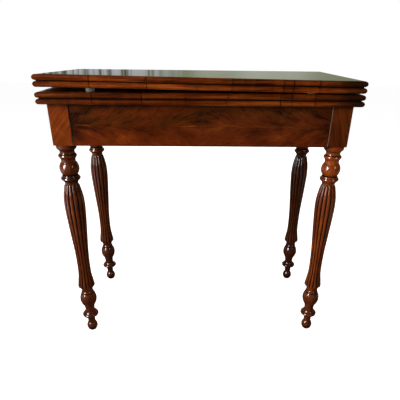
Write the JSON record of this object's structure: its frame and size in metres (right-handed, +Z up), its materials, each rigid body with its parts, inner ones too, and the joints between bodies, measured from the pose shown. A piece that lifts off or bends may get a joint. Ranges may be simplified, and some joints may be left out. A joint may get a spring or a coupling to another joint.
{
  "type": "folding card table",
  "caption": "Card table with a double top that turns a quarter round and folds open over a card well, on four turned and reeded legs.",
  "frame": {"origin": "on the floor under the middle of the closed top", "axes": "+X along the front edge towards the viewer's right, +Y to the back, +Z up"},
  "size_m": [0.78, 0.394, 0.7604],
  "materials": {
    "leg_mahogany": "french polished",
    "block_mahogany": "french polished",
    "figured_veneer": "french polished",
    "edging_mahogany": "french polished",
    "crossband_mahogany": "polished",
    "leaf_mahogany": "french polished",
    "carcase_wood": "bare, aged",
    "peg_wood": "bare",
    "baize": "napped wool",
    "pad_felt": "felt",
    "hinge_brass": "aged",
    "pivot_steel": "dull"
  },
  "bodies": {
    "frame": {"front_rail": "carcase_wood", "back_rail": "carcase_wood", "left_rail": "carcase_wood", "right_rail": "carcase_wood", "front_veneer": "figured_veneer", "left_veneer": "figured_veneer", "right_veneer": "figured_veneer", "corner_block_front_left": "block_mahogany", "corner_block_front_right": "block_mahogany", "corner_block_back_left": "block_mahogany", "corner_block_back_right": "block_mahogany", "leg_front_left": "leg_mahogany", "leg_front_right": "leg_mahogany", "leg_back_left": "leg_mahogany", "leg_back_right": "leg_mahogany", "pivot_rail": "carcase_wood", "pivot_bush": "hinge_brass", "well_partition": "carcase_wood", "well_board": "carcase_wood", "well_bearers": "carcase_wood"},
    "lower_leaf": {"lower_leaf_panel": "leaf_mahogany", "lower_front_lipping": "edging_mahogany", "lower_left_lipping": "edging_mahogany", "lower_right_lipping": "edging_mahogany", "lower_crossband": "crossband_mahogany", "lower_baize": "baize", "lower_left_hinge_plate": "hinge_brass", "lower_right_hinge_plate": "hinge_brass", "left_hinge_pin": "hinge_brass", "right_hinge_pin": "hinge_brass", "left_pad": "pad_felt", "right_pad": "pad_felt", "pivot_plate": "pivot_steel", "pivot_bolt": "pivot_steel", "pivot_washer": "pivot_steel", "pivot_nut": "pivot_steel", "stop_peg": "peg_wood"},
    "upper_leaf": {"upper_leaf_panel": "leaf_mahogany", "upper_front_lipping": "edging_mahogany", "upper_left_lipping": "edging_mahogany", "upper_right_lipping": "edging_mahogany", "upper_crossband": "crossband_mahogany", "upper_baize": "baize", "upper_left_hinge_plate": "hinge_brass", "upper_right_hinge_plate": "hinge_brass"}
  },
  "joints": [
    {"name": "top_swivel", "type": "hinge", "parent": "frame", "child": "lower_leaf", "pos_m": [0.0975, 0.0975, 0.694], "axis": [0, 0, 1], "range_deg": [0, 90]},
    {"name": "leaf_fold", "type": "hinge", "parent": "lower_leaf", "child": "upper_leaf", "pos_m": [0, 0.195, 0.722], "axis": [-1, 0, 0], "range_deg": [0, 178.7]}
  ]
}
